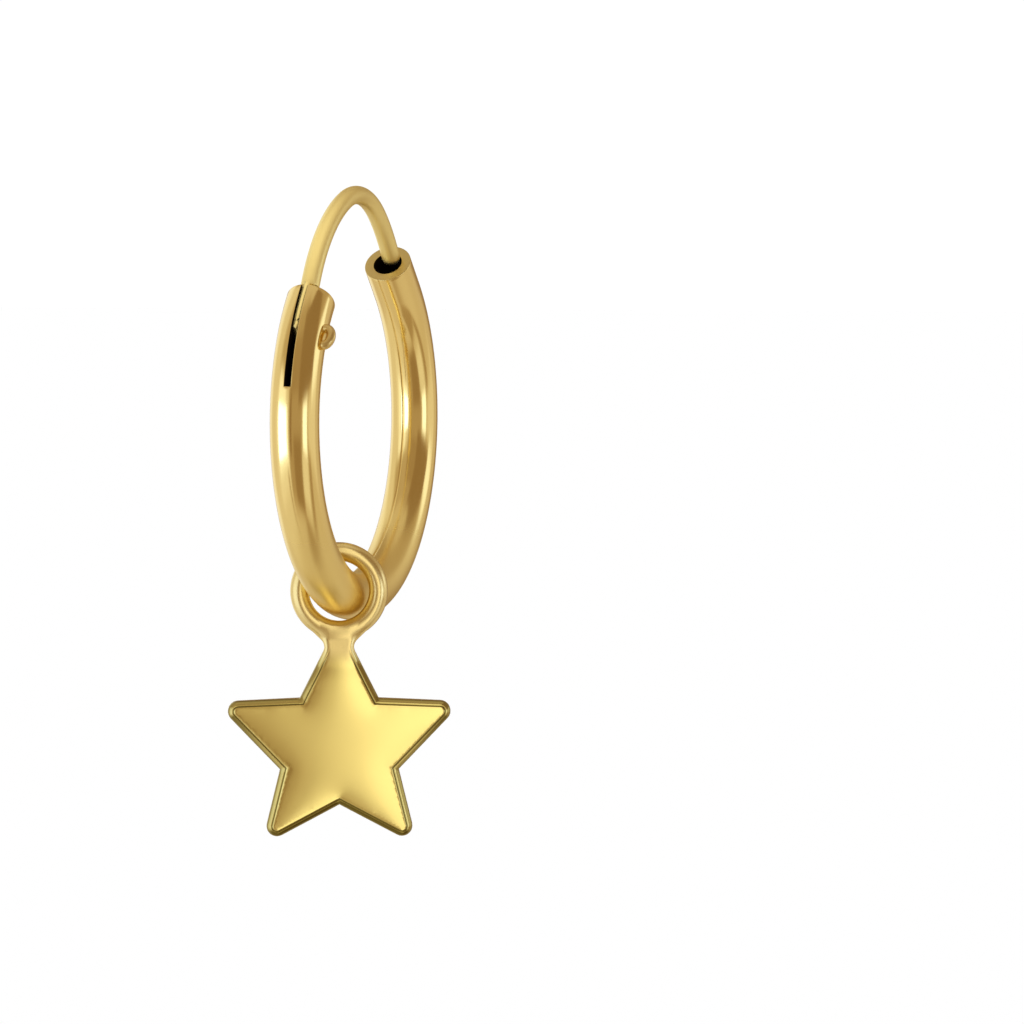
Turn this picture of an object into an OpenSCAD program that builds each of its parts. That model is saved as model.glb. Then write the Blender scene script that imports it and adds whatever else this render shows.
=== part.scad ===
// Hoop charm earring: a hollow hoop with a hinged ear wire, and a star that hangs from it on a ring.
// Millimetres, +Z up. X is the axis of the hoop, +Y points from the hinge to the catch.
// The origin is the underside of the ear wire's top, where the wire rests in the ear.

/* [Hoop tube] */
// Outside diameter of the hoop
hoop_od = 12; // [11.9:0.05:12.1]
// Outside diameter of the tube
tube_od = 1.43; // [1.4:0.01:1.44]
// Diameter of the tube's bore
tube_bore = 0.86; // [0.84:0.01:0.9]
// Angle from the top of the hoop to the tube's end at the hinge
hinge_end_angle = 47.3; // [47.3:0.1:49]
// Angle from the top of the hoop to where the catch side turns straight
catch_arc_angle = 44; // [43:0.5:45]
// Length of the straight stretch at the catch
catch_straight = 1.2; // [1.1:0.02:1.22]
// Angle from the top of the hoop to the bottom of the hinge slot
slot_bottom_angle = 79; // [75:1:82]
// Width of the hinge slot
slot_w = 0.2; // [0.19:0.01:0.24]

/* [Hinge] */
// Angle from the top of the hoop to the hinge pin
pin_angle = 59; // [58:0.5:60]
// Distance of the pin outward from the middle of the tube
pin_out = 0.1; // [0.08:0.01:0.12]
// Diameter of the hinge pin
pin_d = 0.27; // [0.24:0.01:0.28]
// Mean radius of the pin's bent end
pin_bend_r = 0.235; // [0.2:0.005:0.26]

/* [Ear wire] */
// Diameter of the ear wire
wire_d = 0.55; // [0.52:0.01:0.56]
// Height of the wire's centreline above the hoop's centre
wire_rise = 6.68; // [6.66:0.01:6.7]
// Distance of the wire's top from the hoop's middle, toward the hinge
wire_top_shift = 0.16; // [0.15:0.01:0.18]
// Radius of the wire over the top
wire_top_r = 2.9; // [2.88:0.01:2.92]
// Radius of the wire on the hinge side
wire_hinge_r = 5.1; // [5.08:0.01:5.12]
// Radius of the wire on the catch side
wire_catch_r = 5.35; // [5.33:0.01:5.37]
// Length of the wire's straight end
wire_straight = 0.45; // [0.42:0.01:0.46]
// Sideways lean of the wire, in degrees
wire_lean = 0.7; // [0:0.1:0.8]
// Thickness of the wire's flattened end in the slot
tang_t = 0.12; // [0.1:0.01:0.13]
// Sideways place of the flattened end in the slot
tang_x = 0.025; // [0:0.005:0.03]
// Radius of the flattened end round the pin
tang_r = 0.48; // [0.44:0.01:0.49]
// Diameter of the eye that the pin passes through
eye_d = 0.33; // [0.32:0.01:0.36]

/* [Star charm] */
// Mean radius of the ring that hangs on the hoop
ring_r = 1.165; // [1.16:0.005:1.2]
// Diameter of the ring's round section
ring_wire_d = 0.56; // [0.5:0.01:0.56]
// Angle from the bottom of the hoop to the ring, toward the hinge
hang_angle = 17.2; // [12:0.2:18]
// Turn of the star away from the hoop's axis
charm_turn = 19.8; // [15:0.2:21]
// Thickness of the star at its middle
star_t = 1; // [0.9:0.05:1.2]
// Thickness of the neck between the ring and the star
neck_t = 0.46; // [0.4:0.02:0.5]
// Radius of the star's rounded points
point_r = 0.31; // [0.26:0.01:0.34]
// Radius of the hollow where the neck meets the star
neck_r = 0.41; // [0.3:0.01:0.45]

/* [Hidden] */

// Gap that keeps separate pieces clear of each other
gap = 0.015;
arc_fn = 96;
ring_fn = 40;
corner_steps = 4;
// Sides of the ear wire's section, the length of its steps and the steps of its round tip
wire_sides = 16;
wire_step = 0.3;
tip_steps = 4;
tip_angle = 72;

// Distance of the tube's middle line from the hoop's centre
hoop_r = (hoop_od - tube_od) / 2;
wire_r = wire_d / 2;
hoop_centre = [0, wire_top_shift, wire_r - wire_rise];

// Point of a circle in the hoop's plane, its angle counted from the top toward the catch, as y and z
function on_arc(centre, r, angle) = centre + r * [sin(angle), cos(angle)];

// Angles where the wire's arcs meet: hinge side to top, top to catch side, catch side to straight
wire_start_angle = -62.8;
wire_meet_hinge = -18;
wire_meet_catch = 37;
wire_end_angle = 51;
wire_top_centre = [-wire_top_shift, wire_rise - wire_top_r];
wire_hinge_centre = on_arc(wire_top_centre, wire_top_r - wire_hinge_r, wire_meet_hinge);
wire_catch_centre = on_arc(wire_top_centre, wire_top_r - wire_catch_r, wire_meet_catch);
wire_arc_end = on_arc(wire_catch_centre, wire_catch_r, wire_end_angle);

pin_place = on_arc([0, 0], hoop_r + pin_out, -pin_angle);
slot_r = hoop_r + 0.2;
slot_depth = 0.8;
slot_overrun = 4;

// The star's corners: distance right of the middle, height from the ring's centre, corner radius
neck_side = [
    [0.55, -1.06, 0],
    [0.68, -1.27, 0],
    [0.36, -1.44, neck_r],
    [0.5, -2.4, 0],
];
star_shoulder = [0.384, -1.62, 0.3];
star_side = [
    [1.165, -3.18, 0],
    [3.69, -3.29, point_r],
    [1.76, -5.29, 0],
    [2.32, -7.58, point_r],
];
star_crotch = [0, -6.34, 0];

// Inset from the outline and height above the middle plane, for the star's rounded edge
star_layers = [
    [0, star_t * 0.24],
    [0.05, star_t * 0.38],
    [0.15, star_t * 0.46],
    [0.26, star_t * 0.5],
];

function reversed(list) = [for (i = [len(list) - 1 : -1 : 0]) list[i]];
function mirrored(corners) = [for (c = corners) [-c[0], c[1], c[2]]];
function both_sides(side, middle = []) = concat(mirrored(side), middle, reversed(side));
function cross_2d(a, b) = a[0] * b[1] - a[1] * b[0];
function flat(c) = [c[0], c[1]];
function unit(v) = v / norm(v);
function left_of(v) = [-v[1], v[0]];

// One corner of an outline moved inward by inset, as an arc or, with no radius, as its point;
// hollow corners turn the other way
function corner_arc(before, here, after, inset) =
    let (
        e1 = unit(flat(here) - flat(before)),
        e2 = unit(flat(after) - flat(here)),
        n1 = left_of(e1),
        n2 = left_of(e2),
        side = cross_2d(e1, e2) > 0 ? 1 : -1,
        miter = (n1 + n2) / (1 + n1 * n2),
        r = here[2] - side * inset,
        centre = flat(here) + (inset + side * r) * miter,
        start = atan2(-side * n1[1], -side * n1[0]),
        sweep = atan2(cross_2d(e1, e2), e1 * e2)
    )
    here[2] == 0
    ? [flat(here) + inset * miter]
    : [for (k = [0 : corner_steps])
        centre + r * [cos(start + sweep * k / corner_steps), sin(start + sweep * k / corner_steps)]];

function outline(corners, inset) =
    let (n = len(corners))
    [for (i = [0 : n - 1])
        each corner_arc(corners[(i + n - 1) % n], corners[i], corners[(i + 1) % n], inset)];

// Closed solid through rings of points, each counter-clockwise as seen from the next one
module loft(rings) {
    n = len(rings[0]);
    last = len(rings) - 1;
    polyhedron(
        points = [for (ring = rings) each ring],
        faces = concat(
            [[for (i = [0 : n - 1]) i]],
            [for (j = [0 : last - 1], i = [0 : n - 1])
                [j * n + i, (j + 1) * n + i, (j + 1) * n + (i + 1) % n, j * n + (i + 1) % n]],
            [[for (i = [n - 1 : -1 : 0]) last * n + i]]
        )
    );
}

// Solid through outlines that shrink away from the middle plane, alike on both faces
module cushion(corners, layers) {
    half = [for (l = layers) [for (p = outline(corners, l[0])) [p[0], p[1], l[1]]]];
    back = [for (ring = reversed(half)) [for (p = ring) [p[0], p[1], -p[2]]]];
    loft(concat(back, half));
}

// Turns a shape drawn round the Z axis into the hoop's plane, its X axis at an angle from the top
module in_hoop_plane(angle) {
    rotate([0, -90, 0])
        rotate([0, 0, angle])
            children();
}

// Round bar of a given diameter along the whole tube, its straight end first
module along_tube(d) {
    in_hoop_plane(catch_arc_angle) {
        rotate_extrude(angle = 360 - hinge_end_angle - catch_arc_angle, $fn = arc_fn)
            translate([hoop_r, 0])
                circle(d = d, $fn = arc_fn);
        translate([hoop_r, 0, 0])
            rotate([90, 0, 0])
                cylinder(d = d, h = catch_straight, $fn = arc_fn);
    }
}

module hoop_tube() {
    color([0.80, 0.65, 0.33])
        translate(hoop_centre)
            difference() {
                along_tube(tube_od);
                along_tube(tube_bore);
                in_hoop_plane(-slot_bottom_angle)
                    rotate_extrude(angle = slot_bottom_angle - hinge_end_angle + slot_overrun, $fn = arc_fn)
                        translate([slot_r, -slot_w / 2])
                            square([slot_depth, slot_w]);
                translate([0, pin_place[0], pin_place[1]])
                    rotate([0, 90, 0])
                        cylinder(d = pin_d + 2 * gap, h = 2 * tube_od, center = true, $fn = arc_fn);
            }
}

// Round pin, flush with the tube on one side, its other end bent over along the tube
module hinge_pin() {
    bend_x = tube_od / 2 + gap;
    flush_x = -sqrt(pow(tube_od / 2, 2) - pow(pin_out + pin_d / 2, 2));
    color([0.74, 0.59, 0.28])
        translate(hoop_centre + [0, pin_place[0], pin_place[1]])
            rotate([pin_angle, 0, 0])
                translate([bend_x, -pin_bend_r, 0])
                    rotate([180, 0, 90]) {
                        rotate_extrude(angle = 180, $fn = arc_fn)
                            translate([pin_bend_r, 0])
                                circle(d = pin_d, $fn = arc_fn);
                        translate([pin_bend_r, 0, 0])
                            rotate([90, 0, 0])
                                cylinder(d = pin_d, h = bend_x - flush_x, $fn = arc_fn);
                    }
}

// Flattened end of the ear wire: a round eye on the pin and a blade that narrows up to the wire
module wire_tang() {
    way = on_arc(wire_hinge_centre, wire_hinge_r, wire_start_angle + 2) - pin_place;
    wide = tang_r * 0.84;
    narrow = wire_r * 0.85;
    translate([-tang_t / 2, pin_place[0], pin_place[1]])
        rotate([90, 0, 90])
            rotate([0, 0, atan2(way[1], way[0])])
                linear_extrude(height = tang_t)
                    difference() {
                        union() {
                            circle(r = tang_r, $fn = arc_fn);
                            polygon([[0, -wide], [norm(way), -narrow], [norm(way), narrow], [0, wide]]);
                        }
                        circle(d = eye_d, $fn = arc_fn);
                    }
}

// Steps along the wire as [y, z, angle, radius]: its arcs, the straight end and the round tip
function wire_arc(centre, r, from, to) =
    let (steps = ceil((to - from) * PI / 180 * r / wire_step))
    [for (k = [0 : steps - 1])
        let (a = from + (to - from) * k / steps)
        concat(on_arc(centre, r, a), [a, wire_r])];

function wire_tip(place, angle) =
    [for (k = [0 : tip_steps])
        let (a = tip_angle * k / tip_steps)
        concat(place + wire_r * sin(a) * [cos(angle), -sin(angle)], [angle, wire_r * cos(a)])];

module ear_wire() {
    tip_place = wire_arc_end + wire_straight * [cos(wire_end_angle), -sin(wire_end_angle)];
    path = concat(
        wire_arc(wire_hinge_centre, wire_hinge_r, wire_start_angle, wire_meet_hinge),
        wire_arc(wire_top_centre, wire_top_r, wire_meet_hinge, wire_meet_catch),
        wire_arc(wire_catch_centre, wire_catch_r, wire_meet_catch, wire_end_angle),
        [concat(wire_arc_end, [wire_end_angle, wire_r])],
        wire_tip(tip_place, wire_end_angle)
    );
    rings = [for (p = path)
        [for (k = [0 : wire_sides - 1])
            let (t = 360 * k / wire_sides, out = p[3] * cos(t))
            [p[3] * sin(t), p[0] + out * sin(p[2]), p[1] + out * cos(p[2])]]];
    color([0.83, 0.70, 0.40])
        translate(hoop_centre + [tang_x, pin_place[0], 0])
            rotate([0, 0, -wire_lean])
                translate([0, -pin_place[0], 0]) {
                    wire_tang();
                    loft(rings);
                }
}

module star_charm() {
    star_corners = both_sides(concat([star_shoulder], star_side), [star_crotch]);
    hang = on_arc([0, 0], -hoop_r, hang_angle);
    color([0.84, 0.71, 0.34])
        translate(hoop_centre + [0, hang[0], hang[1] + gap])
            rotate([0, 0, charm_turn])
                rotate([90, 0, 0]) {
                    rotate_extrude($fn = ring_fn)
                        translate([ring_r, 0])
                            circle(d = ring_wire_d, $fn = ring_fn);
                    linear_extrude(height = neck_t, center = true)
                        polygon(outline(both_sides(neck_side), 0));
                    cushion(star_corners, star_layers);
                }
}

hoop_tube();
hinge_pin();
ear_wire();
star_charm();
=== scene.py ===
"""Hoop charm earring: a polished gold hoop with a satin ear wire and a star that hangs from it on a ring.

Shapes are worked out in millimetres about the hoop's centre and put into metres at the end.
X is the hoop's axis, +Y points from the hinge to the catch, +Z is up.
"""
import math

import bmesh
import bpy
from mathutils import Matrix, Vector
from mathutils.geometry import delaunay_2d_cdt


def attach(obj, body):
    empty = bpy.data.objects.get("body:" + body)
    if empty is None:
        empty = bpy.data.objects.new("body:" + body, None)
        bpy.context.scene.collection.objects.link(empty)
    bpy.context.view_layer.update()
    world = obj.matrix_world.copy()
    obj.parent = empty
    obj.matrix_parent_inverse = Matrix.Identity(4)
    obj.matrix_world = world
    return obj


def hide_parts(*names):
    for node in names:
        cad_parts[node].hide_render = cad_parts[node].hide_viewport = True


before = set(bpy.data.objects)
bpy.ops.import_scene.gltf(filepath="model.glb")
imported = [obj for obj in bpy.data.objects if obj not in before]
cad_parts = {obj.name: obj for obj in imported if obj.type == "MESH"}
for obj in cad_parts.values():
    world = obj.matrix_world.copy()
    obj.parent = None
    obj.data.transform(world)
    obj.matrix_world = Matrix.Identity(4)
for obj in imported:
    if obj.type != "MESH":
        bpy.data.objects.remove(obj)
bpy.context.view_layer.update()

MM = 0.001

# The object's own sizes, as in its construction, in millimetres and degrees
HOOP_R = 5.285
TUBE_R = 0.715
BORE_R = 0.43
CATCH_ANGLE = 44.0
CATCH_STRAIGHT = 1.2
HINGE_ANGLE = 47.3
SLOT_BOTTOM = 79.0
SLOT_HALF = 0.1
SEAM_ANGLE = 190.0
SEAM_HALF = 0.028
SEAM_DEPTH = 0.032
RIM_ROUNDING = 0.022

WIRE_R = 0.275
WIRE_RISE = 6.68
WIRE_TOP_SHIFT = 0.16
WIRE_TOP_R = 2.9
WIRE_HINGE_R = 5.1
WIRE_CATCH_R = 5.35
WIRE_STRAIGHT = 0.45
WIRE_LEAN = 0.7
WIRE_START = -62.8
WIRE_MEET_HINGE = -18.0
WIRE_MEET_CATCH = 37.0
WIRE_END = 51.0
WIRE_OPEN = 120.0
WIRE_ROUNDING = 0.03

# The round wire stops at a circle about the pin, and its flattened end goes on into the slot
FOOT_R = 1.33
TANG_HALF = 0.075
TANG_X = 0.015
TANG_R = 0.48
BLADE_RECESS = 0.045
BLADE_BEFORE_RIM = 0.9
BLADE_PAST_PIN = 0.5
BLADE_TURN_FROM = 5
BLADE_TURN = 240
BLADE_GAP = 0.035
BLADE_ROOT = 0.15
BLADE_ROOT_SIDES = (-0.21, 0.2)
BLADE_ROUNDING = 0.012

PIN_ANGLE = 59.0
PIN_OUT = 0.1
PIN_R = 0.135
PIN_BEND_R = 0.275
PIN_BEND_OUT = 0.2
PIN_END_BULGE = 0.6
PIN_ROUNDING = 0.03
GAP = 0.015

RING_R = 1.165
RING_WIRE_R = 0.28
HANG_ANGLE = 17.2
CHARM_TURN = 19.8
POINT_R = 0.31

HOOP_CENTRE = Vector((0, WIRE_TOP_SHIFT, WIRE_R - WIRE_RISE))


def on_arc(radius, angle, centre=(0.0, 0.0)):
    """Point of a circle in the hoop's plane as (y, z), its angle in degrees from the top toward the catch."""
    a = math.radians(angle)
    return (centre[0] + radius * math.sin(a), centre[1] + radius * math.cos(a))


def smoothstep(low, high, x):
    """0 up to the low value and 1 from the high one on, with a smooth rise between."""
    t = min(1.0, max(0.0, (x - low) / (high - low)))
    return t * t * (3 - 2 * t)


def make_piece(name, mesh, node, body, materials, place=Matrix.Identity(4)):
    """Puts a mesh in millimetres into the frame, in metres, and lets it stand for its node."""
    mesh.transform(Matrix.Scale(MM, 4) @ Matrix.Translation(HOOP_CENTRE) @ place)
    mesh.update()
    piece = bpy.data.objects.new(name, mesh)
    bpy.context.scene.collection.objects.link(piece)
    for material in materials:
        mesh.materials.append(material)
    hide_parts(node)
    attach(piece, body)
    return piece


def mesh_from(name, points, faces):
    mesh = bpy.data.meshes.new(name)
    mesh.from_pydata([tuple(p) for p in points], [], faces)
    mesh.update()
    return mesh


def joined(name, *parts):
    """One mesh made of several, in their order."""
    bm = bmesh.new()
    for part in parts:
        bm.from_mesh(part)
    mesh = bpy.data.meshes.new(name)
    bm.to_mesh(mesh)
    bm.free()
    return mesh


def smooth(mesh):
    """Points every face outward and shades it smooth."""
    bm = bmesh.new()
    bm.from_mesh(mesh)
    bmesh.ops.recalc_face_normals(bm, faces=bm.faces)
    for face in bm.faces:
        face.smooth = True
    bm.to_mesh(mesh)
    bm.free()


def soften_edges(mesh, width, sharp, segments=3):
    """Rounds every edge that turns by more than the sharp angle, and smooths the rest."""
    shortest = 0.0003
    bm = bmesh.new()
    bm.from_mesh(mesh)
    bmesh.ops.recalc_face_normals(bm, faces=bm.faces)
    edges = [e for e in bm.edges if e.calc_face_angle(0.0) > math.radians(sharp)]
    bmesh.ops.bevel(
        bm, geom=edges, offset=width, offset_type="OFFSET", segments=segments, profile=0.5,
        affect="EDGES", clamp_overlap=True, loop_slide=True, material=-1,
    )
    bmesh.ops.dissolve_degenerate(bm, dist=shortest, edges=bm.edges)
    for face in bm.faces:
        face.smooth = True
    bm.to_mesh(mesh)
    bm.free()


# Materials: noise scales are per metre for the blotches and per millimetre for the grain

BLOTCH = 0.06
BLOTCH_SCALE = 900.0
BLOTCH_DETAIL = 3.0
POLISH_SPREAD = 0.15
GRAIN_DETAIL = 2.0
GRAIN_DEPTH = 0.01


def node_tree(owner):
    """Empty node tree of a material or world."""
    owner.use_nodes = True
    owner.node_tree.nodes.clear()
    return owner.node_tree


def feed(tree, value, socket):
    """Gives an input its value, either another node's output or a plain one."""
    if isinstance(value, bpy.types.NodeSocket):
        tree.links.new(value, socket)
    else:
        socket.default_value = value


def noise(tree, coords, scale, detail):
    node = tree.nodes.new("ShaderNodeTexNoise")
    node.inputs["Scale"].default_value = scale
    node.inputs["Detail"].default_value = detail
    tree.links.new(coords, node.inputs["Vector"])
    return node.outputs["Fac"]


def mix(tree, kind, share, a, b):
    """Turns a into b as the share goes from 0 to 1; the kind is FLOAT or RGBA."""
    node = tree.nodes.new("ShaderNodeMix")
    node.data_type = kind
    feed(tree, share, node.inputs["Factor"])
    feed(tree, a, node.inputs["A"])
    feed(tree, b, node.inputs["B"])
    return node.outputs["Result"]


def gold(name, colour, roughness, grain=0.0, grain_scale=0.0, blends=()):
    """Gold with slight blotches in its polish and, where grain isn't zero, a fine sanded relief.

    Each blend is (attribute, colour, roughness), what the gold turns to where the attribute is 1.
    """
    material = bpy.data.materials.new(name)
    tree = node_tree(material)
    nodes, links = tree.nodes, tree.links
    out = nodes.new("ShaderNodeOutputMaterial")
    shader = nodes.new("ShaderNodeBsdfPrincipled")
    links.new(shader.outputs[0], out.inputs[0])
    shader.inputs["Metallic"].default_value = 1.0
    coords = nodes.new("ShaderNodeTexCoord").outputs["Object"]
    cloud = noise(tree, coords, BLOTCH_SCALE, BLOTCH_DETAIL)

    def blotchy(bright, rough):
        tone = mix(tree, "RGBA", cloud, (*[c * (1 - BLOTCH) for c in bright], 1), (*bright, 1))
        polish = nodes.new("ShaderNodeMapRange")
        polish.inputs["To Min"].default_value = rough * (1 - POLISH_SPREAD)
        polish.inputs["To Max"].default_value = rough * (1 + POLISH_SPREAD)
        links.new(cloud, polish.inputs["Value"])
        return tone, polish.outputs["Result"]

    tone, polish = blotchy(colour, roughness)
    for attribute, other_colour, other_roughness in blends:
        share = nodes.new("ShaderNodeAttribute")
        share.attribute_name = attribute
        other_tone, other_polish = blotchy(other_colour, other_roughness)
        tone = mix(tree, "RGBA", share.outputs["Fac"], tone, other_tone)
        polish = mix(tree, "FLOAT", share.outputs["Fac"], polish, other_polish)
    links.new(tone, shader.inputs["Base Color"])
    links.new(polish, shader.inputs["Roughness"])
    if grain:
        bump = nodes.new("ShaderNodeBump")
        bump.inputs["Strength"].default_value = grain
        bump.inputs["Distance"].default_value = GRAIN_DEPTH * MM
        links.new(noise(tree, coords, grain_scale / MM, GRAIN_DETAIL), bump.inputs["Height"])
        links.new(bump.outputs["Normal"], shader.inputs["Normal"])
    return material


def paint(mesh, attribute, values):
    """Stores one value for each vertex."""
    layer = mesh.attributes.new(attribute, "FLOAT", "POINT")
    layer.data.foreach_set("value", values)


TUBE_GOLD = gold("tube_gold", (1.0, 0.79, 0.325), 0.145, blends=[("satin", (0.99, 0.79, 0.31), 0.34)])
RIM_GOLD = gold("rim_gold", (0.78, 0.62, 0.25), 0.45, grain=0.35, grain_scale=18.0)
# Near-black gold for the bore and the slot's walls: painted shade where little light gets in
BORE_PAINTED_SHADE = gold("bore_painted_shade", (0.035, 0.02, 0.01), 0.7)
WIRE_GOLD = gold("wire_gold", (1.0, 0.84, 0.36), 0.42, grain=0.25, grain_scale=14.0)
PIN_GOLD = gold("pin_gold", (0.84, 0.64, 0.26), 0.3, grain=0.2, grain_scale=14.0)
# Where the edge attribute holds painted shade, in the star's crease and border, the charm's gold turns near
# black
CHARM_GOLD = gold(
    "charm_gold", (1.0, 0.86, 0.33), 0.17,
    blends=[("neck", (0.95, 0.78, 0.36), 0.26), ("edge", (0.19, 0.145, 0.03), 0.2)],
)


# Hoop tube

# The inside faces, the bore and the slot's walls, carry painted shade
TUBE_MATERIALS = [TUBE_GOLD, RIM_GOLD, BORE_PAINTED_SHADE]
OUTSIDE, RIM, INSIDE = range(3)
# Degrees between sections round the hoop, numbers of sections at the catch and the slot, sides of a section
TURN_STEP = 2.0
CATCH_STEPS = 12
SLOT_STEPS = 18
TUBE_SIDES = 90
# The polish turns satin between these two depths below the hoop's centre
SATIN_DEPTHS = (2.0, 4.4)


def hoop_path():
    """Stations along the tube as (y, z, outward y, outward z, angle on the hoop), the catch end first."""
    start = on_arc(HOOP_R, CATCH_ANGLE)
    outward = on_arc(1.0, CATCH_ANGLE)
    stations = []
    for i in range(CATCH_STEPS):
        t = CATCH_STRAIGHT * (1 - i / CATCH_STEPS)
        stations.append((start[0] - t * outward[1], start[1] + t * outward[0], *outward, CATCH_ANGLE))
    slot_bottom = 360 - SLOT_BOTTOM
    slot_span = SLOT_BOTTOM - HINGE_ANGLE
    angles = []
    angle = CATCH_ANGLE
    while angle < slot_bottom - TURN_STEP / 4:
        angles.append(angle)
        angle += TURN_STEP
    angles += [slot_bottom + slot_span * i / SLOT_STEPS for i in range(SLOT_STEPS + 1)]
    for angle in angles:
        stations.append((*on_arc(HOOP_R, angle), *on_arc(1.0, angle), angle))
    return stations


def tube_columns():
    """Columns as (angle outside, angle in the bore, depth cut), in degrees from the outermost side."""
    slot_outer = math.degrees(math.asin(SLOT_HALF / TUBE_R))
    slot_bore = math.degrees(math.asin(SLOT_HALF / BORE_R))
    seam_half = math.degrees(SEAM_HALF / TUBE_R)
    # The seam's three columns take the place of those next to it
    seam_room = 1.6 * seam_half
    angles = [(slot_outer + (360 - 2 * slot_outer) * i / TUBE_SIDES) for i in range(TUBE_SIDES + 1)]
    angles = [a for a in angles if abs(a - SEAM_ANGLE) > seam_room]
    angles += [SEAM_ANGLE - seam_half, SEAM_ANGLE, SEAM_ANGLE + seam_half]
    angles.sort()
    columns = []
    for a in angles:
        share = (a - slot_outer) / (360 - 2 * slot_outer)
        bore = slot_bore + share * (360 - 2 * slot_bore)
        columns.append((a, bore, SEAM_DEPTH if a == SEAM_ANGLE else 0.0))
    columns.append((360.0, 360.0, 0.0))
    return columns


def tube_points(stations, columns):
    """Points of every station, each with the ring of its outside first and then that of its bore."""
    rings = [(math.radians(outer), TUBE_R - depth) for outer, _, depth in columns]
    rings += [(math.radians(bore), BORE_R) for _, bore, _ in columns]
    points = []
    for y, z, out_y, out_z, _ in stations:
        for a, r in rings:
            points.append((r * math.sin(a), y + r * math.cos(a) * out_y, z + r * math.cos(a) * out_z))
    return points


def build_tube():
    stations, columns = hoop_path(), tube_columns()
    count = len(columns)
    slot_row = next(i for i, s in enumerate(stations) if s[4] == 360 - SLOT_BOTTOM)
    last_row = len(stations) - 1

    def outer(row, column):
        return row * 2 * count + column % count

    def inner(row, column):
        return row * 2 * count + count + column % count

    faces, kinds = [], []

    def add(face, kind):
        faces.append(face)
        kinds.append(kind)

    # The slot lies between the last column but one and the first, on either side of the outermost line
    slot_columns = {count - 1, count - 2}
    for row in range(last_row):
        for column in range(count):
            if row >= slot_row and column in slot_columns:
                continue
            add((outer(row, column), outer(row, column + 1),
                 outer(row + 1, column + 1), outer(row + 1, column)), OUTSIDE)
            add((inner(row, column), inner(row + 1, column),
                 inner(row + 1, column + 1), inner(row, column + 1)), INSIDE)
    for row in range(slot_row, last_row):
        for column in (0, count - 2):
            add((outer(row, column), outer(row + 1, column),
                 inner(row + 1, column), inner(row, column)), INSIDE)
    for column in range(count):
        add((outer(0, column), inner(0, column), inner(0, column + 1), outer(0, column + 1)), RIM)
        if column in slot_columns:
            add((outer(slot_row, column), inner(slot_row, column),
                 inner(slot_row, column + 1), outer(slot_row, column + 1)), INSIDE)
        else:
            add((outer(last_row, column), outer(last_row, column + 1),
                 inner(last_row, column + 1), inner(last_row, column)), RIM)
    mesh = mesh_from("hoop", tube_points(stations, columns), faces)
    mesh.polygons.foreach_set("material_index", kinds)
    bm = bmesh.new()
    bm.from_mesh(mesh)
    in_the_slot = [v for v in bm.verts if not v.link_faces]
    bmesh.ops.delete(bm, geom=in_the_slot, context="VERTS")
    bm.to_mesh(mesh)
    bm.free()
    soften_edges(mesh, RIM_ROUNDING, sharp=45.0)
    paint(mesh, "satin", [smoothstep(*SATIN_DEPTHS, -v.co.z) for v in mesh.vertices])
    return make_piece("hoop", mesh, "hoop_tube", "hoop", TUBE_MATERIALS)


# Ear wire and pin: sections along a line in the hoop's plane

WIRE_SIDES = 48
WIRE_STEP = 0.07
PIN_SIDES = 32


def loft(name, sections):
    """Closed mesh through sections, each a list of points in the same order round the line."""
    count = len(sections[0])
    points = [p for section in sections for p in section]
    faces = [tuple(range(count))[::-1]]
    for j in range(len(sections) - 1):
        for i in range(count):
            k = (i + 1) % count
            faces.append((j * count + i, j * count + k, (j + 1) * count + k, (j + 1) * count + i))
    faces.append(tuple((len(sections) - 1) * count + i for i in range(count)))
    mesh = mesh_from(name, points, faces)
    smooth(mesh)
    return mesh


def wire_section(y, z, out, radius):
    """Circle across the wire, through its line and toward out, a direction in the hoop's plane."""
    points = []
    for i in range(WIRE_SIDES):
        t = 2 * math.pi * i / WIRE_SIDES
        w, x = radius * math.cos(t), radius * math.sin(t)
        points.append((x, y + w * out[0], z + w * out[1]))
    return points


def build_blade(pin, start, way, across):
    """Flattened end of the wire in the slot, flush with the tube outside and rounded below the pin."""
    up = on_arc(1.0, 90 - PIN_ANGLE)
    out = on_arc(1.0, -PIN_ANGLE)
    flush = HOOP_R + TUBE_R - BLADE_RECESS
    bore_wall = PIN_OUT + BORE_R - BLADE_GAP
    first, last = HINGE_ANGLE - BLADE_BEFORE_RIM, PIN_ANGLE + BLADE_PAST_PIN
    flush_steps, turn_steps = 14, 40
    line = [on_arc(flush, -first - (last - first) * i / flush_steps) for i in range(flush_steps + 1)]
    for i in range(turn_steps + 1):
        turn = BLADE_TURN_FROM + BLADE_TURN * i / turn_steps
        a = math.radians(turn)
        r = TANG_R
        if turn < 90:
            # Flush with the tube's outside, yet clear of the bore's far wall when the wire is wide open
            to_outside = (flush - HOOP_R - PIN_OUT) / math.cos(a)
            to_bore_wall = -bore_wall / math.cos(a + math.radians(WIRE_OPEN))
            r = max(TANG_R, min(to_outside, to_bore_wall))
        line.append((pin[0] + r * (math.cos(a) * out[0] - math.sin(a) * up[0]),
                     pin[1] + r * (math.cos(a) * out[1] - math.sin(a) * up[1])))
    # Its root lies inside the round wire
    for side in BLADE_ROOT_SIDES:
        line.append((start[0] + side * across[0] - BLADE_ROOT * way[0],
                     start[1] + side * across[1] - BLADE_ROOT * way[1]))
    count = len(line)
    points = [(x, y, z) for x in (-TANG_HALF, TANG_HALF) for y, z in line]
    faces = [tuple(range(count)), tuple(range(2 * count - 1, count - 1, -1))]
    faces += [(i, count + i, count + (i + 1) % count, (i + 1) % count) for i in range(count)]
    mesh = mesh_from("blade", points, faces)
    soften_edges(mesh, BLADE_ROUNDING, sharp=60.0, segments=2)
    return mesh


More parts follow.
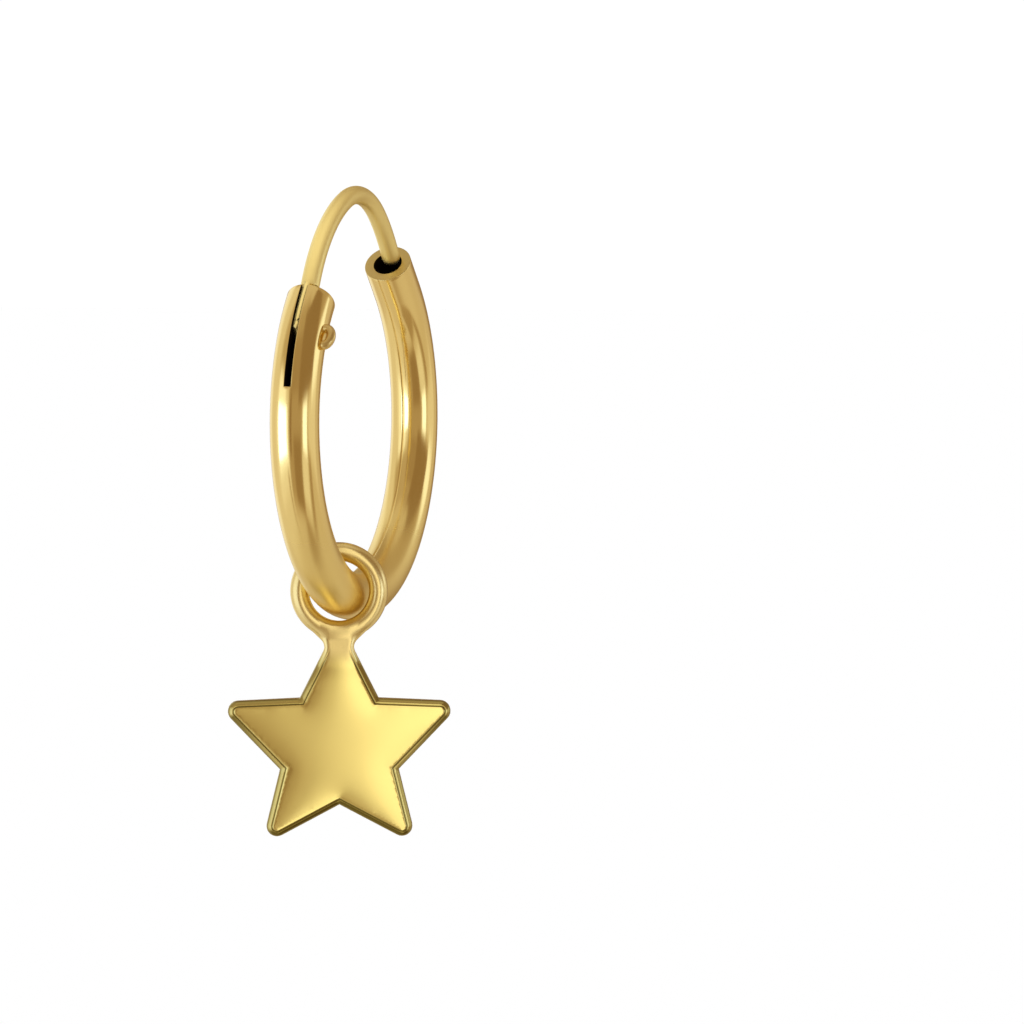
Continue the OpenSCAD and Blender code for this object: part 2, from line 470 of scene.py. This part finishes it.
def build_wire():
    top = (-WIRE_TOP_SHIFT, WIRE_RISE - WIRE_TOP_R)
    hinge = on_arc(WIRE_TOP_R - WIRE_HINGE_R, WIRE_MEET_HINGE, top)
    catch = on_arc(WIRE_TOP_R - WIRE_CATCH_R, WIRE_MEET_CATCH, top)
    pin = on_arc(HOOP_R + PIN_OUT, -PIN_ANGLE)
    start = on_arc(WIRE_HINGE_R, WIRE_START, hinge)
    reach = math.dist(start, pin)
    way = ((pin[0] - start[0]) / reach, (pin[1] - start[1]) / reach)
    across = (way[1], -way[0])
    # The round wire's foot follows a circle about the pin, so it swings clear of the tube's rim
    foot = []
    for x, y, z in wire_section(*start, on_arc(1.0, WIRE_START), WIRE_R):
        dy, dz = y - pin[0], z - pin[1]
        along = dy * way[0] + dz * way[1]
        t = -along - math.sqrt(along ** 2 - (dy ** 2 + dz ** 2 - FOOT_R ** 2))
        foot.append((x, y + t * way[0], z + t * way[1]))
    sections = [foot]
    arcs = (
        (hinge, WIRE_HINGE_R, WIRE_START, WIRE_MEET_HINGE),
        (top, WIRE_TOP_R, WIRE_MEET_HINGE, WIRE_MEET_CATCH),
        (catch, WIRE_CATCH_R, WIRE_MEET_CATCH, WIRE_END),
    )
    for centre, radius, first, last in arcs:
        steps = math.ceil(math.radians(last - first) * radius / WIRE_STEP)
        for i in range(1, steps + 1):
            angle = first + (last - first) * i / steps
            sections.append(wire_section(*on_arc(radius, angle, centre), on_arc(1.0, angle), WIRE_R))
    # The straight end and its round tip, as (distance past the last arc, radius)
    straight_steps, tip_steps, tip_turn = 4, 12, 89.0
    end = [(WIRE_STRAIGHT * i / straight_steps, WIRE_R) for i in range(1, straight_steps + 1)]
    for i in range(1, tip_steps + 1):
        a = math.radians(tip_turn * i / tip_steps)
        end.append((WIRE_STRAIGHT + WIRE_R * math.sin(a), WIRE_R * math.cos(a)))
    y, z = on_arc(WIRE_CATCH_R, WIRE_END, catch)
    out = on_arc(1.0, WIRE_END)
    forward = (out[1], -out[0])
    for t, r in end:
        sections.append(wire_section(y + forward[0] * t, z + forward[1] * t, out, r))
    round_wire = loft("round_wire", sections)
    soften_edges(round_wire, WIRE_ROUNDING, sharp=50.0)
    mesh = joined("ear_wire", round_wire, build_blade(pin, start, way, across))
    lean = (
        Matrix.Translation((TANG_X, pin[0], 0))
        @ Matrix.Rotation(math.radians(-WIRE_LEAN), 4, "Z")
        @ Matrix.Translation((0, -pin[0], 0))
    )
    return make_piece("wire", mesh, "ear_wire", "wire", [WIRE_GOLD], lean)


def build_pin():
    """Round pin along X, flush with the tube on one side, its other end bent over and back to the tube."""
    bend_x = TUBE_R + GAP
    flush_x = -math.sqrt(TUBE_R ** 2 - (PIN_OUT + PIN_R) ** 2)
    bend_steps, end_steps, end_turn = 24, 8, 88.0
    # Steps along the pin as (x, y, radius, turn): its flush end with a rounded edge, then its straight length
    cap_r, bevel, along = 0.004, 0.008, 0.3
    steps = [(flush_x, 0.0, cap_r, 0.0), (flush_x, 0.0, PIN_R - PIN_ROUNDING, 0.0),
             (flush_x + bevel, 0.0, PIN_R - bevel, 0.0), (flush_x + PIN_ROUNDING, 0.0, PIN_R, 0.0)]
    steps += [(x, 0.0, PIN_R, 0.0) for x in (-along, 0.0, along, bend_x)]
    for i in range(1, bend_steps + 1):
        a = math.pi * i / bend_steps
        turn = math.atan2(PIN_BEND_R * math.sin(a), PIN_BEND_OUT * math.cos(a))
        steps.append((bend_x + PIN_BEND_OUT * math.sin(a), -PIN_BEND_R * (1 - math.cos(a)), PIN_R, turn))
    for i in range(1, end_steps + 1):
        a = math.radians(end_turn * i / end_steps)
        x = bend_x - PIN_R * PIN_END_BULGE * math.sin(a)
        steps.append((x, -2 * PIN_BEND_R, PIN_R * math.cos(a), math.pi))
    sections = []
    for x, y, r, turn in steps:
        section = []
        for i in range(PIN_SIDES):
            t = 2 * math.pi * i / PIN_SIDES
            side = r * math.cos(t)
            section.append((x + side * math.sin(turn), y + side * math.cos(turn), r * math.sin(t)))
        sections.append(section)
    mesh = loft("hinge_pin", sections)
    y, z = on_arc(HOOP_R + PIN_OUT, -PIN_ANGLE)
    place = Matrix.Translation((0, y, z)) @ Matrix.Rotation(math.radians(PIN_ANGLE), 4, "X")
    return make_piece("pin", mesh, "hinge_pin", "hoop", [PIN_GOLD], place)


# Star charm: corners as (right, up, rounding) from the ring's centre, in the charm's own plane

# The neck's top lies inside the ring's metal, its sides leave the ring as tangents and run on into the star's
NECK_TOP_R = RING_R - 0.2
NECK_TOP = [
    (NECK_TOP_R * math.sin(math.radians(t)), -NECK_TOP_R * math.cos(math.radians(t)), 0)
    for t in (12, 24, 36, 48)
]
NECK_SIDE = [(1.09, -0.92, 0), (0.374, -1.6, 0.3)]
STAR_SIDE = [(1.165, -3.18, 0), (3.69, -3.29, POINT_R), (1.76, -5.29, 0), (2.32, -7.58, POINT_R)]
STAR_CROTCH = (0, -6.34, 0)

# Rounded border of the star, from the side wall to the crease where the face begins, as (inset, height,
# painted shade, painted shade on the lower edges); the painted shade is darkest in the crease
BORDER = [
    (0.0, 0.19, 0.25, 0.25), (0.006, 0.232, 0.8, 0.7), (0.018, 0.262, 0.8, 0.8), (0.036, 0.285, 0.7, 0.9),
    (0.065, 0.308, 0.5, 1.0), (0.095, 0.328, 0.45, 1.0), (0.12, 0.343, 0.3, 0.95), (0.135, 0.346, 0.35, 0.9),
    (0.148, 0.33, 0.95, 1.0), (0.165, 0.33, 1.0, 1.0), (0.182, 0.352, 0.8, 0.9), (0.197, 0.359, 0, 0),
]
# The same rows where the neck has plain rounded edges
NECK_BORDER = [0.22, 0.27, 0.31, 0.345, 0.372, 0.387, 0.394, 0.397, 0.398, 0.399, 0.4, 0.4]
# An edge counts as a lower one between these two shares of its inward direction that point up; lower edges
# take their own painted shade, mostly darker
LOWER_EDGES = (0.3, 0.8)
# The face as two pillows added up, (rise, reach): a broad one and one that rolls off near the border
PILLOWS = [(0.115, 1.0), (0.02, 0.22)]
PILLOW_ROUNDS = 160
# Both sides of the star bulge a little about its middle, as the drop in height per square millimetre
DOME = 0.008
DOME_MIDDLE = -5.2
# Heights at which the star turns into the neck, and between which the charm thins to a share of its thickness
NECK_FADE = (-2.3, -1.65)
THINNING = (-2.9, -1.3)
THIN_SHARE = 0.58
# The soft joint of neck and ring, where the neck's sides drop away beside the ring's metal
NECK_JOINT = 0.16
SHOULDER_DROP = 0.94
SHOULDER_ACROSS = (0.3, 1.0)
SHOULDER_UP = (-1.75, -1.35)
RING_FALL = 3
SKIN = 0.004
# Sizes of the mesh
BORDER_STEP = 0.12
FACE_STEP = 0.075
ARC_STEPS = 10


def both_sides(side, middle):
    """Corners down the left side, then the middle ones, then the same side mirrored back up."""
    return [(-x, y, r) for x, y, r in side] + middle + side[::-1]


def outline(corners, inset):
    """Corners moved inward by inset, rounded ones as arcs; all outlines of one shape have as many points."""
    points = []
    places = [Vector((x, y)) for x, y, _ in corners]
    for i, here in enumerate(places):
        radius = corners[i][2]
        before, after = places[i - 1], places[(i + 1) % len(places)]
        e1, e2 = (here - before).normalized(), (after - here).normalized()
        n1, n2 = Vector((-e1.y, e1.x)), Vector((-e2.y, e2.x))
        miter = (n1 + n2) / (1 + n1.dot(n2))
        if radius == 0:
            points.append(here + inset * miter)
            continue
        turn = e1.cross(e2)
        side = 1 if turn > 0 else -1
        r = radius - side * inset
        centre = here + (inset + side * r) * miter
        first = math.atan2(-side * n1.y, -side * n1.x)
        sweep = math.atan2(turn, e1.dot(e2))
        for k in range(ARC_STEPS + 1):
            a = first + sweep * k / ARC_STEPS
            points.append(centre + r * Vector((math.cos(a), math.sin(a))))
    return points


def divided(loop, shares):
    """The same closed line with each stretch divided into its own number of equal shares."""
    points = []
    for i, p in enumerate(loop):
        q = loop[(i + 1) % len(loop)]
        points += [p.lerp(q, k / shares[i]) for k in range(shares[i])]
    return points


def neck_share(y):
    """0 over the star, 1 over the neck."""
    return smoothstep(*NECK_FADE, y)


def thickness_at(y):
    """The charm thins from the star toward the ring, where it is as thick as the ring's metal."""
    return 1.0 - (1.0 - THIN_SHARE) * smoothstep(*THINNING, y)


def charm_height(x, y, star, neck):
    """Height of the surface at a point, from the star's own height and the neck's."""
    share = neck_share(y)
    shoulder = SHOULDER_DROP * smoothstep(*SHOULDER_ACROSS, abs(x)) * smoothstep(*SHOULDER_UP, y)
    bulge = DOME * (x ** 2 + (y - DOME_MIDDLE) ** 2) * (1 - share)
    plate = thickness_at(y) * (star * (1 - share) + neck * share) * (1 - shoulder) - bulge
    # A soft joint with the ring, a hair below the ring's own surface where the ring stands higher
    off = abs(math.hypot(x, y) - RING_R)
    ring = math.sqrt(RING_WIRE_R ** 2 - off ** 2) if off < RING_WIRE_R else RING_FALL * (RING_WIRE_R - off)
    overlap = max(0.0, NECK_JOINT - abs(ring - plate))
    return max(ring, plate) + overlap ** 2 / (4 * NECK_JOINT) - SKIN


def pillow(points, triangles, edge_count, rise, reach):
    """Height of a stretched sheet over its border, which is held at zero: full rise is met far inside."""
    neighbours = [set() for _ in points]
    for a, b, c in triangles:
        neighbours[a] |= {b, c}
        neighbours[b] |= {a, c}
        neighbours[c] |= {a, b}
    heights = [0.0] * len(points)
    links = []
    for i in range(edge_count, len(points)):
        near = list(neighbours[i])
        spread = sum((points[j] - points[i]).length_squared for j in near) / len(near)
        links.append((i, near, spread / (4 * reach ** 2)))
    for _ in range(PILLOW_ROUNDS):
        for i, near, pull in links:
            mean = sum(heights[j] for j in near) / len(near)
            heights[i] = (mean + pull * rise) / (1 + pull)
    return heights


def inside(p, loop):
    """Whether a closed line goes round the point."""
    hit = False
    for i, a in enumerate(loop):
        b = loop[i - 1]
        if (a.y > p.y) != (b.y > p.y) and p.x < (b.x - a.x) * (p.y - a.y) / (b.y - a.y) + a.x:
            hit = not hit
    return hit


def clear_of(p, loop, gap):
    """Whether the point keeps a gap to every stretch of a closed line."""
    for i, a in enumerate(loop):
        b = loop[i - 1]
        t = max(0.0, min(1.0, (p - a).dot(b - a) / (b - a).length_squared))
        if (a.lerp(b, t) - p).length < gap:
            return False
    return True


def face_grid(edge):
    """Points of a triangle grid inside the face's edge, none of them close to it."""
    gap = 0.55 * FACE_STEP
    low_x, high_x = min(p.x for p in edge), max(p.x for p in edge)
    y, high_y = min(p.y for p in edge), max(p.y for p in edge)
    points = []
    shifted = False
    while y < high_y:
        x = low_x + (FACE_STEP / 2 if shifted else 0)
        while x < high_x:
            points.append(Vector((x, y)))
            x += FACE_STEP
        y += FACE_STEP * math.sqrt(3) / 2
        shifted = not shifted
    return [p for p in points if inside(p, edge) and clear_of(p, edge, gap)]


def build_star_mesh():
    """The star and its neck as one mesh, with the painted shade of its vertices: dark border rows and crease,
    none on the face or neck.
    """
    corners = [(0, -NECK_TOP_R, 0)] + both_sides(NECK_TOP + NECK_SIDE + STAR_SIDE, [STAR_CROTCH])
    # Each border row keeps the outer line's divisions, so the rows join one to one
    outer = outline(corners, 0.0)
    lengths = [(outer[(i + 1) % len(outer)] - p).length for i, p in enumerate(outer)]
    shares = [max(1, round(length / BORDER_STEP)) for length in lengths]
    rows = [divided(outline(corners, inset), shares) for inset, *_ in BORDER]
    edge = rows[-1]
    count = len(edge)
    segments = [(i, (i + 1) % count) for i in range(count)]
    triangles_inside, closest = 1, 1e-5
    verts, _, tris, *_ = delaunay_2d_cdt(edge + face_grid(edge), segments, [], triangles_inside, closest)
    heights = [sum(h) for h in zip(*(pillow(verts, tris, count, *sizes) for sizes in PILLOWS))]
    under = [smoothstep(*LOWER_EDGES, (q - p).normalized().y) for p, q in zip(rows[0], edge)]
    points, faces, painted_shade = [], [], []
    for sign in (1, -1):
        first = len(points)
        for row, (_, height, edge_shade, lower_edge_shade), plain in zip(rows[:-1], BORDER, NECK_BORDER):
            for p, low in zip(row, under):
                points.append((p.x, p.y, sign * charm_height(p.x, p.y, height, plain)))
                # Painted shade on the star's border rows, fading out over the neck
                painted_shade.append((1 - neck_share(p.y)) * (edge_shade + (lower_edge_shade - edge_shade) * low))
        face_first = len(points)
        for p, h in zip(verts, heights):
            points.append((p.x, p.y, sign * charm_height(p.x, p.y, BORDER[-1][1] + h, NECK_BORDER[-1])))
            painted_shade.append(0.0)
        for start in range(first, face_first, count):
            for i, k in segments:
                faces.append((start + i, start + k, start + count + k, start + count + i))
        faces += [tuple(face_first + v for v in tri) for tri in tris]
    faces += [(i, k, first + k, first + i) for i, k in segments]
    mesh = mesh_from("star", points, faces)
    smooth(mesh)
    return mesh, painted_shade


def build_ring_mesh():
    """Round ring in the charm's plane."""
    points, faces = [], []
    around, across = 160, 40
    for i in range(around):
        a = 2 * math.pi * i / around
        for j in range(across):
            b = 2 * math.pi * j / across
            r = RING_R + RING_WIRE_R * math.cos(b)
            points.append((r * math.cos(a), r * math.sin(a), RING_WIRE_R * math.sin(b)))
    for i in range(around):
        for j in range(across):
            k, m = (i + 1) % around, (j + 1) % across
            faces.append((i * across + j, k * across + j, k * across + m, i * across + m))
    mesh = mesh_from("ring", points, faces)
    smooth(mesh)
    return mesh


def build_charm():
    star, painted_shade = build_star_mesh()
    ring = build_ring_mesh()
    mesh = joined("charm", star, ring)
    ring_count = len(ring.vertices)
    paint(mesh, "neck", [neck_share(v.co.y) for v in star.vertices] + [1.0] * ring_count)
    # Painted shade on the star's border and crease, none on the ring
    paint(mesh, "edge", painted_shade + [0.0] * ring_count)
    y, z = on_arc(-HOOP_R, HANG_ANGLE)
    place = (
        Matrix.Translation((0, y, z + GAP))
        @ Matrix.Rotation(math.radians(CHARM_TURN), 4, "Z")
        @ Matrix.Rotation(math.radians(90), 4, "X")
    )
    return make_piece("charm", mesh, "star_charm", "charm", [CHARM_GOLD], place)


# Camera, as the photograph's: its distance and focal length in millimetres and pixels of a 1024 pixel frame

FRAME_PX = 1024
FOCAL_PX = 4837.1
CAMERA_DISTANCE = 144.6
CAMERA_YAW = 19.78
CAMERA_PITCH = 2.053
HOOP_PIXEL = (356.53, 419.03)
SENSOR = 36.0
# Nearest and farthest distance that it sees, in metres
CLIP = (0.005, 10.0)


def camera_way(yaw, pitch):
    """Unit vector along +Y, turned left by the yaw and down by the pitch."""
    return Vector((-math.sin(yaw) * math.cos(pitch), math.cos(yaw) * math.cos(pitch), -math.sin(pitch)))


def make_camera():
    data = bpy.data.cameras.new("camera")
    camera = bpy.data.objects.new("camera", data)
    bpy.context.scene.collection.objects.link(camera)
    bpy.context.scene.camera = camera
    data.sensor_width = SENSOR
    data.lens = FOCAL_PX / FRAME_PX * SENSOR
    data.clip_start, data.clip_end = CLIP
    yaw, pitch = math.radians(CAMERA_YAW), math.radians(CAMERA_PITCH)
    camera.location = (HOOP_CENTRE - CAMERA_DISTANCE * camera_way(yaw, pitch)) * MM
    # It aims beside the hoop, so that the hoop's centre falls on its pixel
    half = FRAME_PX / 2
    aim_yaw = yaw - math.atan((half - HOOP_PIXEL[0]) / FOCAL_PX)
    aim_pitch = pitch + math.atan((half - HOOP_PIXEL[1]) / FOCAL_PX)
    camera.rotation_mode = "QUATERNION"
    camera.rotation_quaternion = camera_way(aim_yaw, aim_pitch).to_track_quat("-Z", "Y")


# Studio: white surroundings with soft light panels. A layer is (brightness, left, right, low, high,
# soft edge sideways, soft edge in height), in degrees; 0 sideways is where the camera stands.

PANELS = [
    (0.62, -132, 140, -90, 90, 12, 10),
    (0.95, -166, -124, -30, 40, 5, 10),
    (0.66, -180, 180, -90, -28, 1, 8),
    (0.76, -128, -28, -62, 66, 10, 8),
    (0.50, -95, -28, 22, 66, 8, 8),
    (0.86, -95, -29, -36, 6, 8, 6),
    (1.10, -84, -32, -23, 6, 5, 5),
    (1.05, -84, -44, 6, 22, 5, 5),
    (0.44, -30, 34, -48, 80, 2, 12),
    (0.40, -42, -37, -75, -26, 1.5, 6),
    (0.32, -6, 30, -46, -8, 4, 5),
    (0.26, -23, -15, -18, 16, 1.5, 3),
    (0.40, 30, 80, -78, -47, 4, 4),
    (0.36, -30, 20, 15, 48, 4, 4),
    (0.28, 17, 88, 9, 60, 4, 3),
    (0.44, 86, 140, 22, 70, 5, 6),
    (1.35, 39, 60, -13, 7, 2, 3),
    (0.80, 33, 61, -36, -14, 2, 5),
    (0.38, 66, 78, -46, -6, 3, 4),
    (0.78, 68, 112, -10, 6, 3, 4),
    (1.10, 82, 112, 4, 19, 3, 3),
    (0.62, -180, 180, 68, 90, 1, 8),
]
# Brightness where no panel is
BEYOND = 0.32
# Dimmer light is warmer, as gold shows it: green and blue fall off as these powers of the brightness
GREEN_POWER = 1.35
BLUE_POWER = 1.9
BACKDROP_WHITE = (1.02, 1.02, 1.02, 1)


def make_world():
    world = bpy.data.worlds.new("studio")
    bpy.context.scene.world = world
    tree = node_tree(world)
    nodes, links = tree.nodes, tree.links

    def math_node(operation, a, b=0.0):
        node = nodes.new("ShaderNodeMath")
        node.operation = operation
        feed(tree, a, node.inputs[0])
        feed(tree, b, node.inputs[1])
        return node.outputs[0]

    def dot(vector, axis):
        node = nodes.new("ShaderNodeVectorMath")
        node.operation = "DOT_PRODUCT"
        links.new(vector, node.inputs[0])
        node.inputs[1].default_value = axis
        return node.outputs["Value"]

    def step(value, limit, soft):
        node = nodes.new("ShaderNodeMapRange")
        node.interpolation_type = "SMOOTHSTEP"
        links.new(value, node.inputs["Value"])
        node.inputs["From Min"].default_value = limit - soft
        node.inputs["From Max"].default_value = limit + soft
        return node.outputs["Result"]

    def below(value, limit, soft):
        return math_node("SUBTRACT", 1.0, step(value, limit, soft))

    yaw = math.radians(CAMERA_YAW)
    direction = nodes.new("ShaderNodeTexCoord").outputs["Generated"]
    to_camera = dot(direction, (math.sin(yaw), -math.cos(yaw), 0))
    to_right = dot(direction, (math.cos(yaw), math.sin(yaw), 0))
    upward = dot(direction, (0, 0, 1))
    sideways = math_node("MULTIPLY", math_node("ARCTAN2", to_right, to_camera), 180 / math.pi)
    height = math_node("MULTIPLY", math_node("ARCSINE", upward), 180 / math.pi)
    value = BEYOND
    for bright, left, right, low, high, soft, soft_z in PANELS:
        mask = math_node("MULTIPLY", step(sideways, left, soft), below(sideways, right, soft))
        if low > -90:
            mask = math_node("MULTIPLY", mask, step(height, low, soft_z))
        if high < 90:
            mask = math_node("MULTIPLY", mask, below(height, high, soft_z))
        value = mix(tree, "FLOAT", mask, value, bright)
    colour = nodes.new("ShaderNodeCombineColor")
    links.new(value, colour.inputs[0])
    links.new(math_node("POWER", value, GREEN_POWER), colour.inputs[1])
    links.new(math_node("POWER", value, BLUE_POWER), colour.inputs[2])
    # The panels show in the gold's reflections alone; all else sees plain white
    reflected = nodes.new("ShaderNodeLightPath").outputs["Is Glossy Ray"]
    background = nodes.new("ShaderNodeBackground")
    links.new(mix(tree, "RGBA", reflected, BACKDROP_WHITE, colour.outputs[0]), background.inputs["Color"])
    out = nodes.new("ShaderNodeOutputWorld")
    links.new(background.outputs[0], out.inputs[0])


# Pale floor below the hanging earring, in metres

FLOOR_HALF = 3.0
FLOOR_Z = -0.045
FLOOR_WHITE = (0.98, 0.98, 0.98, 1)


def make_floor():
    h = FLOOR_HALF
    mesh = mesh_from("floor", [(-h, -h, 0), (h, -h, 0), (h, h, 0), (-h, h, 0)], [(0, 1, 2, 3)])
    floor = bpy.data.objects.new("floor", mesh)
    bpy.context.scene.collection.objects.link(floor)
    floor.location = (0, 0, FLOOR_Z)
    material = bpy.data.materials.new("floor_white")
    tree = node_tree(material)
    out = tree.nodes.new("ShaderNodeOutputMaterial")
    shader = tree.nodes.new("ShaderNodeBsdfDiffuse")
    shader.inputs["Color"].default_value = FLOOR_WHITE
    tree.links.new(shader.outputs[0], out.inputs[0])
    mesh.materials.append(material)
    floor.visible_glossy = False


# Soft boxes that light one piece alone, as (left, right, low, high, brightness), degrees as the panels'

TUBE_LIGHTS = [(-81, -38, -20, 10, 2.3)]
WIRE_LIGHTS = [(-62, 62, 5, 75, 0.2), (-50, 50, 52, 128, 0.33)]
CHARM_LIGHTS = [(-7, 24, -65, 52, 0.17), (-1, 24, -65, 52, 0.36), (3, 24, -65, 52, 0.33)]
COOL = (0.45, 0.65, 1.0)
CREAM = (1.0, 1.0, 0.88)
# What they face and how far from it they stand, in metres: one is close to the tube's hinge side
HINGE_SIDE = (0, -0.0053, -0.0064)
WIRE_TOP = (0, 0, 0)
STAR_MIDDLE = (0, 0, -0.0165)
CLOSE = 0.02
FAR = 0.5


def make_soft_boxes(piece, boxes, centre, distance, colour):
    """Area lights about a centre, all facing it, that light one piece alone."""
    lit = bpy.data.collections.new(piece.name + "_lit")
    lit.objects.link(piece)
    yaw = math.radians(CAMERA_YAW)
    to_camera = Vector((math.sin(yaw), -math.cos(yaw), 0))
    to_right = Vector((math.cos(yaw), math.sin(yaw), 0))
    for number, (left, right, low, high, bright) in enumerate(boxes):
        name = f"{piece.name}_light_{number}"
        data = bpy.data.lights.new(name, "AREA")
        light = bpy.data.objects.new(name, data)
        bpy.context.scene.collection.objects.link(light)
        side, up = math.radians((left + right) / 2), math.radians((low + high) / 2)
        level = math.cos(side) * to_camera + math.sin(side) * to_right
        away = math.cos(up) * level + Vector((0, 0, math.sin(up)))
        data.shape = "RECTANGLE"
        data.size = 2 * distance * math.tan(math.radians((right - left) / 2))
        data.size_y = 2 * distance * math.tan(math.radians((high - low) / 2))
        data.color = colour
        data.energy = bright * math.pi * data.size * data.size_y
        light.location = Vector(centre) + distance * away
        light.rotation_mode = "QUATERNION"
        light.rotation_quaternion = (-away).to_track_quat("-Z", "Y")
        light.visible_camera = False
        light.light_linking.receiver_collection = lit


make_camera()
make_world()
make_floor()
build_pin()
make_soft_boxes(build_tube(), TUBE_LIGHTS, HINGE_SIDE, CLOSE, COOL)
make_soft_boxes(build_wire(), WIRE_LIGHTS, WIRE_TOP, FAR, CREAM)
make_soft_boxes(build_charm(), CHARM_LIGHTS, STAR_MIDDLE, FAR, CREAM)
bpy.context.scene.view_settings.view_transform = "Standard"
